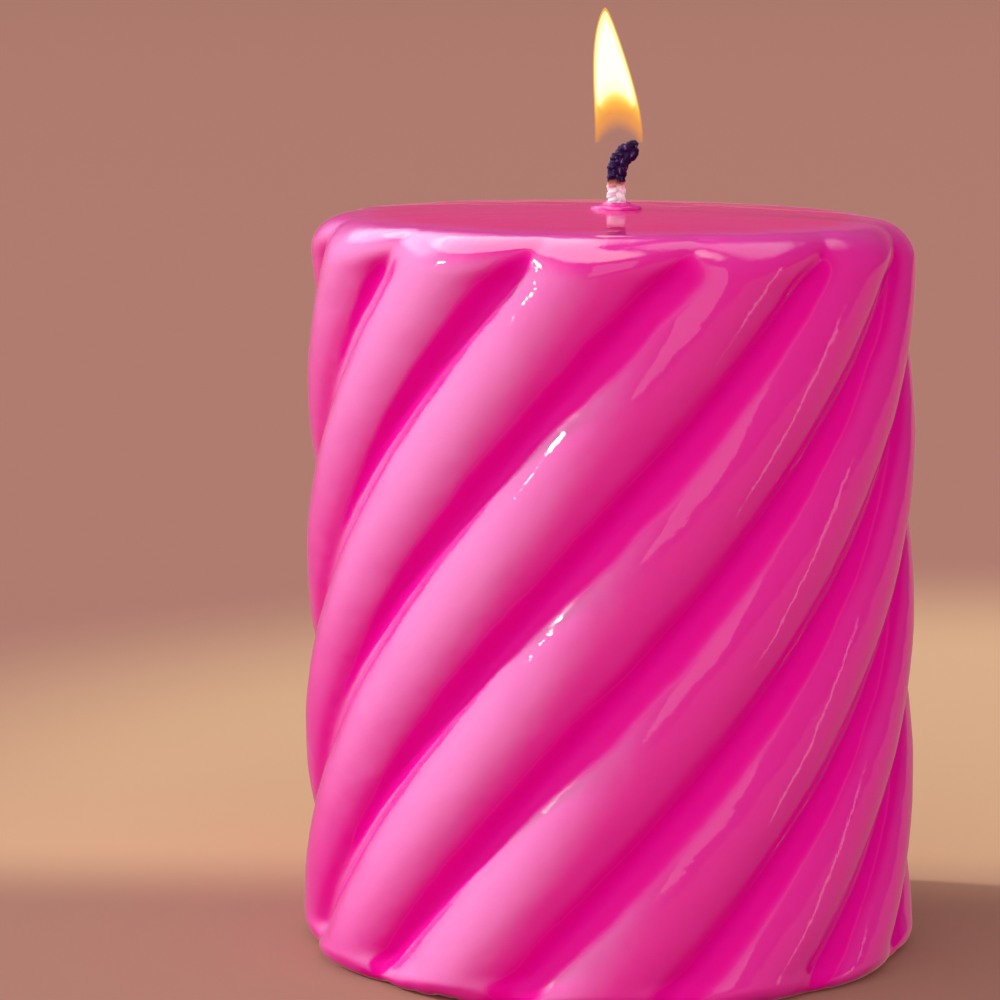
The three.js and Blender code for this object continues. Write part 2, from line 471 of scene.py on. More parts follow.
    def make(self, name: str, shape: Value, material: bpy.types.Material) -> bpy.types.Object:
        """Ends the tree, runs it, keeps the result as a plain mesh and clears the guides away.

        Args:
            name: the new object's name.
            shape: the geometry to keep.
            material: the finish.

        Returns:
            An object at the origin with no modifier.
        """
        whole = self.value("GeometryNodeRealizeInstances", Geometry=shape)
        angle = self.value("GeometryNodeInputMeshEdgeAngle", "Unsigned Angle")
        whole = self.stored(whole, "BOOLEAN", "EDGE", sharp_edge=angle.do("GREATER_THAN", SHARP_CORNER))
        smooth = self.value("GeometryNodeSetShadeSmooth", Geometry=whole)
        finish = self.given("Finish", material)
        finished = self.value("GeometryNodeSetMaterial", Geometry=smooth, Material=finish)
        self.tree.links.new(finished.socket, self.exit.inputs[0])
        maker = linked(name + "_maker", bpy.data.meshes.new(name + "_seed"))
        modifier = maker.modifiers.new("shape", "NODES")
        modifier.node_group = self.tree
        for identifier, setting in self.settings.items():
            modifier[identifier] = setting
        depsgraph = bpy.context.evaluated_depsgraph_get()
        mesh = bpy.data.meshes.new_from_object(
            maker.evaluated_get(depsgraph), preserve_all_data_layers=True, depsgraph=depsgraph
        )
        mesh.name = name
        maker.modifiers.remove(modifier)
        for helper in (maker, *self.guides):
            bpy.data.objects.remove(helper)
        return linked(name, mesh)


# Finishes


class FinishTree(TreeKit):
    """A material's node tree round one Principled shader."""

    def __init__(self, name: str) -> None:
        """Starts a material with a bare shader.

        Args:
            name: the material's name.
        """
        self.material = bpy.data.materials.new(name)
        self.material.use_nodes = True
        super().__init__(self.material.node_tree)
        self.shader = self.tree.nodes["Principled BSDF"]
        self.place = self.value("ShaderNodeTexCoord", "Object")

    def set(self, **inputs: object) -> None:
        """Sets the shader's inputs by name, with _ for a space."""
        for name, source in inputs.items():
            Value.feed(self.tree, self.shader.inputs[name.replace("_", " ")], source)

    def noise(self, grain: float, detail: float = 2.0, stretch: tuple = (1, 1, 1)) -> Value:
        """Cloudy noise from 0 to 1.

        Args:
            grain: size of one cloud, in metres.
            detail: octaves.
            stretch: how much longer the clouds are along X, Y and Z.

        Returns:
            The noise.
        """
        scale = tuple(1 / (grain * part) for part in stretch)
        place = self.value("ShaderNodeMapping", Vector=self.place, Scale=scale)
        return self.value("ShaderNodeTexNoise", Vector=place, Scale=1.0, Detail=detail)

    def sway(self, grain: float, reach: float, detail: float = 2.0) -> Value:
        """Cloudy noise spread evenly round 0, `reach` from its lowest to its highest."""
        return (self.noise(grain, detail) - 0.5) * reach

    def attribute(self, name: str) -> Value:
        """A number stored on the mesh."""
        return self.value("ShaderNodeAttribute", "Fac", {"attribute_name": name})

    def relief(self, height: Value, depth: float, strength: float = 1.0) -> None:
        """Gives the surface, and any lacquer over it, relief `depth` metres deep, too fine to model."""
        bump = self.value("ShaderNodeBump", Height=height, Distance=depth, Strength=strength)
        self.set(Normal=bump, Coat_Normal=bump)


@dataclass(frozen=True)
class LacqueredWax:
    """Dyed wax whose colour is paler on its crests and deeper in its grooves, partly the dye and mostly
    painted light and shade, under a lacquer that is satin where it was not polished.

    How hollow a place is runs from 0 on a crest to 1 in a groove. The lacquer loses its polish from
    `clear_from` on, the more so the more a place faces the eye.
    """

    # Crest and groove colours: partly the dye, mostly painted light on the crests and painted shade in the
    # grooves.
    crest: Colour = linear(242, 46, 170)
    groove: Colour = linear(240, 0, 160)
    # The top face's own colour is set for the light that falls on the top: painted light.
    top_face_painted_light: Colour = linear(238, 6, 124)
    groove_shade_edge: Span = (0.3, 0.62)
    cloud_size: float = 9 * MM
    cloud_reach: float = 0.2
    polish_edge: Span = (-0.12, 0.04)
    satin_roughness: float = 0.5
    satin_grain: float = 2.2 * MM
    satin_reach: float = 0.1
    polish_roughness: float = 0.03
    groove_polish: float = 0.02
    clear_from: float = 0.28
    hollow_wear: float = 0.75
    top_polish: float = 0.8
    glow_depth: float = 2.2 * MM
    wave_size: float = 3 * MM
    wave_height: float = 0.07 * MM

    def material(self) -> bpy.types.Material:
        """Builds the material.

        Returns:
            The material.
        """
        kit = FinishTree("polished_pink_wax")
        hollow = kit.attribute("hollow") + kit.sway(self.cloud_size, self.cloud_reach, detail=3.0)
        top = kit.attribute("top")
        slant = kit.value("ShaderNodeLayerWeight", "Facing", Blend=0.5)
        worn = (hollow - self.clear_from) * self.hollow_wear
        polish = (slant - worn).between(*self.polish_edge) * (1 - self.groove_polish) + self.groove_polish
        # Painted light and shade: the colour turns from the paler crest colour to the deeper groove colour as
        # a place gets more hollow.
        side = kit.colours(self.crest, self.groove, hollow.between(*self.groove_shade_edge))
        kit.set(
            # Painted light: the top face takes its own colour, set for the light that falls on it.
            Base_Color=kit.colours(side, self.top_face_painted_light, top),
            Roughness=kit.sway(self.satin_grain, self.satin_reach, detail=4.0) + self.satin_roughness,
            IOR=1.2,
            Specular_IOR_Level=0.1,
            Subsurface_Weight=0.4,
            Subsurface_Scale=self.glow_depth,
            Subsurface_Radius=(1.0, 0.16, 0.4),
            Coat_Weight=polish - top * (1 - self.top_polish),
            Coat_Roughness=(1 - polish) * (1 - top) * self.satin_roughness + self.polish_roughness,
            Coat_IOR=1.6,
        )
        kit.relief(kit.noise(self.wave_size, detail=4.0), self.wave_height)
        return kit.material


@dataclass(frozen=True)
class PaleWax:
    """The undyed wax of the core, matt, with mould haze and the marks of the knife on its foot."""

    clean: Colour = linear(245, 232, 218)
    hazy: Colour = linear(232, 208, 200)
    haze_size: float = 6 * MM
    haze_matting: float = 0.2
    roughness: float = 0.45
    scrape_width: float = 1.1 * MM
    scrape_depth: float = 0.06 * MM

    def material(self) -> bpy.types.Material:
        """Builds the material.

        Returns:
            The material.
        """
        kit = FinishTree("pale_core_wax")
        haze = kit.noise(self.haze_size, detail=5.0)
        kit.set(
            Base_Color=kit.colours(self.clean, self.hazy, haze),
            Roughness=haze * self.haze_matting + self.roughness,
            IOR=1.44,
            Subsurface_Weight=0.4,
            Subsurface_Scale=3 * MM,
            Subsurface_Radius=(1.0, 0.7, 0.5),
        )
        scrapes = kit.noise(self.scrape_width, detail=3.0, stretch=(14, 1, 1))
        kit.relief(scrapes, self.scrape_depth, strength=0.7)
        return kit.material


@dataclass(frozen=True)
class MoltenWax:
    """Clear wet wax that took up the coat's dye."""

    thin: Colour = linear(252, 66, 176)
    thick: Colour = linear(234, 16, 142)
    swirl_size: float = 0.9 * MM
    swirl_edge: Span = (0.35, 0.65)
    roughness: float = 0.02
    swirl_matting: float = 0.04

    def material(self) -> bpy.types.Material:
        """Builds the material.

        Returns:
            The material.
        """
        kit = FinishTree("molten_pink_wax")
        swirl = kit.noise(self.swirl_size, detail=3.0, stretch=(1, 1, 0.4))
        kit.set(
            Base_Color=kit.colours(self.thin, self.thick, swirl.between(*self.swirl_edge)),
            Roughness=swirl * self.swirl_matting + self.roughness,
            IOR=1.43,
            Subsurface_Weight=0.6,
            Subsurface_Scale=1.2 * MM,
            Subsurface_Radius=(1.0, 0.35, 0.6),
        )
        return kit.material


@dataclass(frozen=True)
class BurntCotton:
    """Primed cotton yarn: stained pink where it leaves the wax, then pale, scorched brown and charred, with
    painted highlights in patches on the char.

    `stain` is counted up from the wax's top, and `scorch` and `burn` from where the char starts. Each
    pair runs from none to full.
    """

    dyed: Colour = linear(255, 226, 246)
    pale: Colour = linear(255, 240, 252)
    scorched: Colour = linear(186, 118, 92)
    char: Colour = linear(36, 4, 56)
    painted_glint: Colour = linear(128, 96, 158)
    stain: Span = (1.5 * MM, 0.2 * MM)
    scorch: Span = (-0.9 * MM, 0.0)
    burn: Span = (-0.15 * MM, 0.35 * MM)
    edge_grain: float = 0.8 * MM
    edge_reach: float = 1.3 * MM
    glint_patch_size: float = 0.34 * MM
    glint_patch_edge: Span = (0.56, 0.7)
    fibre_size: float = 0.12 * MM
    fibre_depth: float = 0.04 * MM
    roughness: float = 0.8
    char_roughness: float = 0.5

    def material(self, char_start: float) -> bpy.types.Material:
        """Builds the material.

        Args:
            char_start: height at which the char starts.

        Returns:
            The material.
        """
        kit = FinishTree("burnt_cotton_braid")
        height = kit.parts(kit.place)[2] + kit.sway(self.edge_grain, self.edge_reach)
        stained = height.between(WAX_TOP + self.stain[0], WAX_TOP + self.stain[1])
        scorched = height.between(char_start + self.scorch[0], char_start + self.scorch[1])
        burnt = height.between(char_start + self.burn[0], char_start + self.burn[1])
        yarn = kit.colours(kit.colours(self.pale, self.dyed, stained), self.scorched, scorched)
        # Painted highlights: patches of the char take the paler glint colour.
        crust = kit.noise(self.glint_patch_size, detail=4.0, stretch=(1, 1, 1.6)).between(*self.glint_patch_edge)
        kit.set(
            Base_Color=kit.colours(yarn, kit.colours(self.char, self.painted_glint, crust), burnt),
            Roughness=burnt * (self.char_roughness - self.roughness) + self.roughness,
            IOR=1.4,
            Specular_IOR_Level=0.2,
            Subsurface_Weight=(1 - burnt) * 0.6,
            Subsurface_Scale=0.5 * MM,
            Subsurface_Radius=(1.0, 0.6, 0.8),
        )
        fibres = kit.noise(self.fibre_size, detail=3.0, stretch=(1, 1, 4))
        kit.relief(fibres, self.fibre_depth, strength=0.5)
        return kit.material


@dataclass(frozen=True)
class Tinplate:
    """Rolled tinplate with faint lines and a duller bloom of wax."""

    bright: Colour = linear(205, 207, 210)
    dull: Colour = linear(158, 158, 160)
    line_width: float = 0.25 * MM
    line_depth: float = 0.01 * MM
    line_matting: float = 0.12
    smear_size: float = 4 * MM
    smear_edge: Span = (0.4, 0.75)
    smear_matting: float = 0.2
    roughness: float = 0.16

    def material(self) -> bpy.types.Material:
        """Builds the material.

        Returns:
            The material.
        """
        kit = FinishTree("rolled_tinplate")
        lines = kit.noise(self.line_width, stretch=(30, 1, 1))
        smear = kit.noise(self.smear_size, detail=4.0)
        kit.set(
            Base_Color=kit.colours(self.bright, self.dull, smear.between(*self.smear_edge)),
            Metallic=1.0,
            Roughness=lines * self.line_matting + smear * self.smear_matting + self.roughness,
        )
        kit.relief(lines, self.line_depth, strength=0.5)
        return kit.material


@dataclass(frozen=True)
class BurningGas:
    """Glowing gas: ember and orange where it is coolest, then yellow, and white where it is hottest."""

    ember: Colour = linear(236, 152, 72)
    orange: Colour = linear(250, 186, 72)
    yellow: Colour = linear(255, 232, 120)
    white: Colour = linear(255, 255, 246)
    orange_at: Span = (0.05, 0.3)
    yellow_at: Span = (0.3, 0.55)
    white_at: Span = (0.5, 0.75)
    bright_at: Span = (0.2, 0.8)
    dim: float = 1.15
    bright: float = 2.2

    def material(self) -> bpy.types.Material:
        """Builds the material, which reads how hot and how thick the gas is from the mesh.

        Returns:
            The material.
        """
        kit = FinishTree("burning_gas")
        heat = kit.attribute("warmth")
        glow = self.ember
        hotter = ((self.orange, self.orange_at), (self.yellow, self.yellow_at), (self.white, self.white_at))
        for colour, edge in hotter:
            glow = kit.colours(glow, colour, heat.between(*edge))
        kit.set(
            Base_Color=(0, 0, 0, 1),
            Roughness=1.0,
            Specular_IOR_Level=0.0,
            Emission_Color=glow,
            Emission_Strength=heat.between(*self.bright_at) * (self.bright - self.dim) + self.dim,
            Alpha=kit.attribute("thickness"),
        )
        return kit.material


# The wax


@dataclass
class LinePoint:
    """One row of a wax body's grid: a point on the line that its crests follow.

    It carries the way outwards and upwards there, the share of a groove's depth and of its deeper colour,
    which is mostly painted shade, the height that sets its twist, how far it was drawn in, how much its skin
    ripples, how much it is centred on the wick, and how much it belongs to the top face, whose colour holds
    painted light, and to the ragged foot.
    """

    radius: float
    height: float
    out: float = 0.0
    up: float = 0.0
    share: float = 0.0
    dye: float = 0.0
    twist_at: float = 0.0
    inset: float = 0.0
    skin: float = 0.0
    beside: float = 0.0
    top: float = 0.0
    foot: float = 0.0


def thinned(line: list[LinePoint], step: int) -> list[LinePoint]:
    """Every `step`-th point of a line, and its last."""
    return [*line[:-1:step], line[-1]]


@dataclass
class TwistedBody:
    """The ribbed, twisted form that the coat and the core share."""

    foot_crest_radius: float = 37.5 * MM
    top_crest_radius: float = 36.5 * MM
    rib_count: int = 12
    twist: float = math.radians(129)
    rib_phase: float = math.radians(-5.2)
    groove_depth: float = 2.5 * MM
    groove_fillet: float = 3.2 * MM
    crown: float = 0.85 * MM
    shoulder_radius: float = 4.9 * MM
    foot_radius: float = 2.8 * MM
    shoulder_fade: float = 6 * MM
    foot_fade: float = 4 * MM
    faded_share: float = 0.3
    top_blend: float = 0.15
    ripple_size: float = 7 * MM
    top_tilt: float = 0.009
    tilt_start: float = 60 * MM
    ragged_lift: float = 0.45 * MM
    ragged_height: float = 2.6 * MM
    ragged_edge: Span = (0.5, 0.72)
    ragged_fineness: float = 5.0
    seed: float = 4.7
    side_rows: int = 120
    edge_rows: int = 12
    top_rows: int = 22
    columns_per_rib: int = 30

    @property
    def shoulder_start(self) -> float:
        """Height where the side turns into the top."""
        return WAX_TOP - self.crown - self.shoulder_radius

    def crest_radius(self, height: float) -> float:
        """The crest radius at a height, along the mould's draft."""
        return lerp(self.foot_crest_radius, self.top_crest_radius, height / WAX_TOP)

    def dye_share(self, height: float) -> float:
        """The share of a groove's depth of colour, which is mostly painted shade, at a height: full at the
        foot, faded under the top.
        """
        return lerp(self.faded_share, 1, smoothstep(0, self.shoulder_fade, WAX_TOP - self.crown - height))

    def groove_share(self, height: float) -> float:
        """The share of a groove's full depth that is left at a height."""
        return lerp(self.faded_share, 1, smoothstep(0, self.foot_fade, height)) * self.dye_share(height)

    def crest_line(self, hole_radius: float) -> list[LinePoint]:
        """The line of a crest from the foot's edge to the hole in the top.

        Args:
            hole_radius: radius at which the line ends on the top.

        Returns:
            The line's points, each with the way outwards there.
        """
        line = []
        foot_edge = self.crest_radius(0) - self.foot_radius
        for row in range(self.edge_rows):
            angle = row / self.edge_rows * QUARTER_TURN
            height = self.foot_radius * (1 - math.cos(angle))
            line.append(LinePoint(foot_edge + self.foot_radius * math.sin(angle), height, out=1))
        for row in range(self.side_rows):
            height = lerp(self.foot_radius, self.shoulder_start, row / self.side_rows)
            line.append(LinePoint(self.crest_radius(height), height, out=1))
        centre = self.crest_radius(self.shoulder_start) - self.shoulder_radius
        for row in range(self.edge_rows + 1):
            angle = row / self.edge_rows * QUARTER_TURN
            out, up = math.cos(angle), math.sin(angle)
            height = self.shoulder_start + self.shoulder_radius * up
            line.append(LinePoint(centre + self.shoulder_radius * out, height, out, up))
        for point in line:
            point.share = self.groove_share(point.height)
            point.dye = self.dye_share(point.height)
        for row in range(1, self.top_rows + 1):
            beside = row / self.top_rows
            radius = lerp(centre, hole_radius, beside)
            height = WAX_TOP - self.crown * (radius / centre) ** 2
            top = smoothstep(0, self.top_blend, beside)
            line.append(LinePoint(radius, height, up=1, beside=beside, top=top))
        for point in line:
            point.twist_at = point.height
            point.skin = 1.0
            point.foot = 1 - smoothstep(0, self.ragged_height, point.height)
        return line

    def drawn_in(self, line: list[LinePoint], inset: float, foot_share: float) -> list[LinePoint]:
        """A line moved inwards, as a plain wall without colour or ripples.

        Args:
            line: the points of the outer skin.
            inset: how far inwards.
            foot_share: how much of the ragged foot is kept.

        Returns:
            The inner line's points.
        """
        return [
            LinePoint(
                point.radius - inset * point.out,
                point.height - inset * point.up,
                share=point.share,
                twist_at=point.twist_at,
                inset=inset,
                beside=point.beside,
                foot=foot_share * point.foot,
            )
            for point in line
        ]

    def wrap(
        self, name: str, line: list[LinePoint], material: bpy.types.Material, ripple: float = 0.0
    ) -> bpy.types.Object:
        """Wraps a grid round the axis along a closed line, with its columns along the helical ribs.

        Args:
            name: the object's name.
            line: the rows, upwards on the outer side, closed by its first point.
            material: the finish.
            ripple: height of the unevenness of the skin, in metres.

        Returns:
            The closed body.
        """
        kit = ShapeTree("Twisted wax body")
        rows = [*line, line[0]]
        labels = ("share", "dye", "twist_at", "inset", "skin", "beside", "top", "foot")
        numbers = {label: [getattr(point, label) for point in rows] for label in labels}
        kit.follow("Crest line", [(point.radius, 0, point.height) for point in rows], numbers)
        columns = kit.given("Columns", self.rib_count * self.columns_per_rib)
        row_count = kit.given("Rows", len(line))
        rib_count = kit.given("Rib count", float(self.rib_count))
        twist = kit.given("Twist per metre", self.twist / WAX_TOP)
        offset = kit.given("Wick offset", WICK_OFFSET)
        ripple_height = kit.given("Ripple height", ripple)
        given = kit.sizes(self, "rib_phase", "groove_depth", "groove_fillet", "ripple_size", "seed")
        ends = kit.sizes(self, "top_tilt", "tilt_start", "ragged_lift")

        sheet, turn, row = kit.sheet(columns, row_count)
        crest, _, height = kit.parts(kit.line_place(row))
        at_row = {label: kit.line_number(label, row) for label in labels}
        depth = given.groove_depth * at_row["share"]
        ribs = turn * rib_count
        from_crest = ((ribs - ribs.do("ROUND")) * (FULL_TURN / rib_count)).do("ABSOLUTE")
        fillet = given.groove_fillet + at_row["inset"]
        reach = self.ribbed_radius(crest, depth, fillet, from_crest, math.pi / rib_count)
        angle = given.rib_phase + twist * at_row["twist_at"] + turn * FULL_TURN
        side = reach * angle.do("SINE") + at_row["beside"] * offset
        tilted = side * ends.top_tilt * height.between(ends.tilt_start, self.shoulder_start)
        around = kit.vector(angle.do("SINE"), angle.do("COSINE"), 0.0)
        ragged = kit.noise(kit.scaled(around, self.ragged_fineness), given.seed, detail=3.0)
        lift = ragged.between(*self.ragged_edge) * ends.ragged_lift * at_row["foot"]
        place = kit.vector(side, reach * angle.do("COSINE") * -1, height - tilted + lift)
        hollow = (crest - reach) / depth * at_row["dye"]
        shape = kit.stored(sheet, hollow=hollow, skin=at_row["skin"], top=at_row["top"])
        shape = kit.moved(shape, place)
        wave = kit.noise(kit.scaled(kit.place(), 1 / given.ripple_size), given.seed, detail=2.0) - 0.5
        shape = kit.pushed(shape, wave * kit.carried("skin") * ripple_height)
        return kit.make(name, shape, material)

    @staticmethod
    def ribbed_radius(crest: Value, depth: Value, fillet: Value, from_crest: Value, half_rib: Value) -> Value:
        """Radius of the ribbed outline at an angle from a crest.

        A rib's back is an arc, and an arc of radius `fillet` fills the groove between two ribs,
        tangent to both.

        Args:
            crest: radius over the crests.
            depth: depth of a groove.
            fillet: radius of a groove's hollow.
            from_crest: angle from the nearest crest, not negative.
            half_rib: half the angle between two crests.

        Returns:
            The radius.
        """
        fillet_centre = crest - depth + fillet
        across = fillet_centre * half_rib.do("COSINE")
        squares = crest**2 + fillet_centre**2 - fillet**2 - crest * across * 2
        back = squares / ((crest - across + fillet) * 2)
        back_centre = crest - back
        split = back / (back + fillet)
        tangent_angle = (fillet_centre * half_rib.do("SINE") * split).do(
            "ARCTAN2", back_centre + (across - back_centre) * split
        )
        aside = back_centre * from_crest.do("SINE")
        on_back = back_centre * from_crest.do("COSINE") + (back**2 - aside**2).root()
        from_groove = half_rib - from_crest
        beside = fillet_centre * from_groove.do("SINE")
        in_groove = fillet_centre * from_groove.do("COSINE") - (fillet**2 - beside**2).root()
        return on_back.blend(in_groove, from_crest.do("GREATER_THAN", tangent_angle))


@dataclass
class MeltedCollar:
    """The molten wax that fills the hole in the coat, climbs the wick and stands up in a ring."""

    stem: float = 2.45 * MM
    reach: float = 3.15 * MM
    seat: float = 0.0175 * MM
    climb: float = 0.5 * MM
    climb_power: float = 2.4
    edge: float = 0.3 * MM
    edge_share: float = 1 / 6
    lip: float = 0.07 * MM
    bead_share: float = 0.25
    ring: tuple[float, float, float] = (0.25, 0.4, 0.55)
    rows: int = 40
    sides: int = 96

    def build(self) -> bpy.types.Object:
        """Makes the collar.

        Returns:
            The collar's object.
        """
        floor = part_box("melt_pool")[0].z
        bore = node_radius("wick") + SEAT_GAP
        rest = WAX_TOP + self.seat
        profile = [(bore, floor), (self.stem, floor), (self.stem, rest), (self.reach, rest)]
        outside, top, inside = self.ring
        for row in range(self.rows + 1):
            part = row / self.rows
            bead = math.sin(min(1.0, part / self.bead_share) * math.pi) ** 2
            ring = smoothstep(outside, top, part) * (1 - smoothstep(top, inside, part))
            edge = self.edge * math.sin(min(1.0, part / self.edge_share) * QUARTER_TURN)
            climb = self.climb * part**self.climb_power + edge + self.lip * (bead + ring + 1)
            profile.append((lerp(self.reach, bore, part), WAX_TOP + climb))
        piece = lathed("melted_collar", profile, self.sides, MoltenWax().material())
        return dressed(piece, "melt_pool")


@dataclass
class Wax:
    """The candle's pale core, its dyed coat and the melt round the wick."""

    body: TwistedBody = field(default_factory=TwistedBody)
    collar: MeltedCollar = field(default_factory=MeltedCollar)
    coat_thickness: float = 1.5 * MM
    ripple: float = 0.28 * MM
    tab_sheet: float = 0.4 * MM
    coat_inside_step: int = 4
    core_step: int = 2

    def coat(self) -> bpy.types.Object:
        """The dyed, lacquered shell: its skin, the hole round the wick, its inner wall and its foot's rim.

        Returns:
            The coat's object.
        """
        outer = self.body.crest_line(self.collar.stem + SEAT_GAP / 2)
        inner = self.body.drawn_in(outer, self.coat_thickness, foot_share=1.0)
        material = LacqueredWax().material()
        line = [*outer, *reversed(thinned(inner, self.coat_inside_step))]
        piece = self.body.wrap("coat_skin", line, material, self.ripple)
        return dressed(piece, "colour_coat")

    def core(self) -> bpy.types.Object:
        """The pale wax body with the wick's bore and the tab's seat.

        Returns:
            The core's object.
        """
        tab_low, tab_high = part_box("wick_tab")
        bore = node_radius("wick") + SEAT_GAP
        neck = bore + self.tab_sheet + SEAT_GAP
        seat = node_radius("wick_tab") + SEAT_GAP
        sheet_top = tab_low.z + self.tab_sheet + SEAT_GAP
        neck_top = tab_high.z + SEAT_GAP
        inset = self.coat_thickness + SEAT_GAP
        whole = self.body.drawn_in(self.body.crest_line(bore), inset, foot_share=0.0)
        corners = [(bore, neck_top), (neck, neck_top), (neck, sheet_top), (seat, sheet_top), (seat, 0.0)]
        inside = [LinePoint(radius, height, beside=1.0) for radius, height in corners]
        line = [*thinned(whole, self.core_step), *inside]
        return dressed(self.body.wrap("core_body", line, PaleWax().material()), "wax_core")


def lathed(name: str, profile: list[Span], sides: int, material: bpy.types.Material) -> bpy.types.Object:
    """A closed ring turned round the wick's axis from a closed section.

    Args:
        name: the object's name.
        profile: radius and height of each corner, in order round the section.
        sides: how many facets the ring has.
        material: the finish.

    Returns:
        The ring, with faces outwards.
    """
    count = len(profile)
    points = []
    faces = []
    for side in range(sides):
        across, away = math.cos(FULL_TURN * side / sides), math.sin(FULL_TURN * side / sides)
        points += [(WICK_OFFSET + radius * across, radius * away, height) for radius, height in profile]
        here, there = side * count, (side + 1) % sides * count
        for corner in range(count):
            after = (corner + 1) % count
            faces.append((here + corner, there + corner, there + after, here + after))
    mesh = bpy.data.meshes.new(name)
    mesh.from_pydata(points, [], faces)
    shell = bmesh.new()
    shell.from_mesh(mesh)
    bmesh.ops.recalc_face_normals(shell, faces=shell.faces)
    shell.to_mesh(mesh)
    shell.free()
    mesh.shade_smooth()
    mesh.set_sharp_from_angle(angle=SHARP_CORNER)
    mesh.materials.append(material)
    return linked(name, mesh)


# The wick and its tab


@dataclass
class WickTab:
    """The tinplate disc under the core, with a stiffening ring and a neck crimped on the wick.

    `lead_in` holds the corners of the bore's mouth: how far outwards and how far up from the underside.
    """

    ring_radius: float = 6.2 * MM
    ring_width: float = 1.1 * MM
    ring_rise: float = 0.055 * MM
    sheet: float = 0.34 * MM
    edge_rounding: float = 0.12 * MM
    neck_inner: float = 1.52 * MM
    neck_blend: float = 0.45 * MM
    neck_mouth: float = 0.25 * MM
    lead_in: tuple[Span, Span] = ((0.1 * MM, 0.08 * MM), (0.3 * MM, 0.0))
    crimps: int = 4
    crimp_depth: float = 0.1 * MM
    disc_steps: int = 28
    bend_steps: int = 6
    neck_steps: int = 16
    sides: int = 96

    def build(self) -> bpy.types.Object:
        """Makes the tab.

        Returns:
            The tab's object.
        """
        low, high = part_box("wick_tab")
        piece = lathed("tab_disc", self.section(low.z, high.z), self.sides, Tinplate().material())
        self.crimp(piece.data, low.z + self.sheet + self.neck_blend, high.z)
        return dressed(piece, "wick_tab")

    def section(self, bottom: float, end: float) -> list[Span]:
        """The tab's section, from its rim over the disc and up the neck, and back down the bore.

        Args:
            bottom: height of the underside.
            end: height of the neck's end.

        Returns:
            Its corners, as radius and height.
        """
        rim = node_radius("wick_tab")
        disc_edge = rim - self.edge_rounding
        neck_outer = self.neck_inner + self.sheet
        top = bottom + self.sheet
        upper = []
        for step in range(self.disc_steps + 1):
            across = lerp(disc_edge, neck_outer + self.neck_blend, step / self.disc_steps)
            near = max(0.0, 1 - ((across - self.ring_radius) / self.ring_width) ** 2)
            upper.append((across, top + self.ring_rise * near**2))
        for step in range(1, self.bend_steps + 1):
            turn = step / self.bend_steps * QUARTER_TURN
            across = neck_outer + self.neck_blend * (1 - math.sin(turn))
            upper.append((across, top + self.neck_blend * (1 - math.cos(turn))))
        for step in range(1, self.neck_steps + 1):
            height = lerp(top + self.neck_blend, end - self.neck_mouth, step / self.neck_steps)
            upper.append((neck_outer, height))
        bore = [(self.neck_inner, height) for _, height in reversed(upper[-self.neck_steps :])]
        mouth = [(self.neck_inner + aside, bottom + up) for aside, up in self.lead_in]
        edge = [(rim, bottom + self.edge_rounding), (rim, top - self.edge_rounding)]
        return [*edge, *upper, *bore, (self.neck_inner, top), *mouth, (disc_edge, bottom)]

    def crimp(self, mesh: bpy.types.Mesh, start: float, end: float) -> None:
        """Presses the crimping tool's dents into the neck.

        Args:
            mesh: the tab's mesh.
            start: height where the neck's tube starts.
            end: the neck's mouth.
        """
        for vertex in mesh.vertices:
            if vertex.co.z <= start:
                continue
            along = math.sin((vertex.co.z - start) / (end - start) * math.pi) ** 2
            across = Vector((vertex.co.x - WICK_OFFSET, vertex.co.y))
            dent = max(0.0, math.cos(math.atan2(across.y, across.x) * self.crimps)) ** 3
            across *= 1 - self.crimp_depth * along * dent / across.length
            vertex.co.x, vertex.co.y = WICK_OFFSET + across.x, across.y


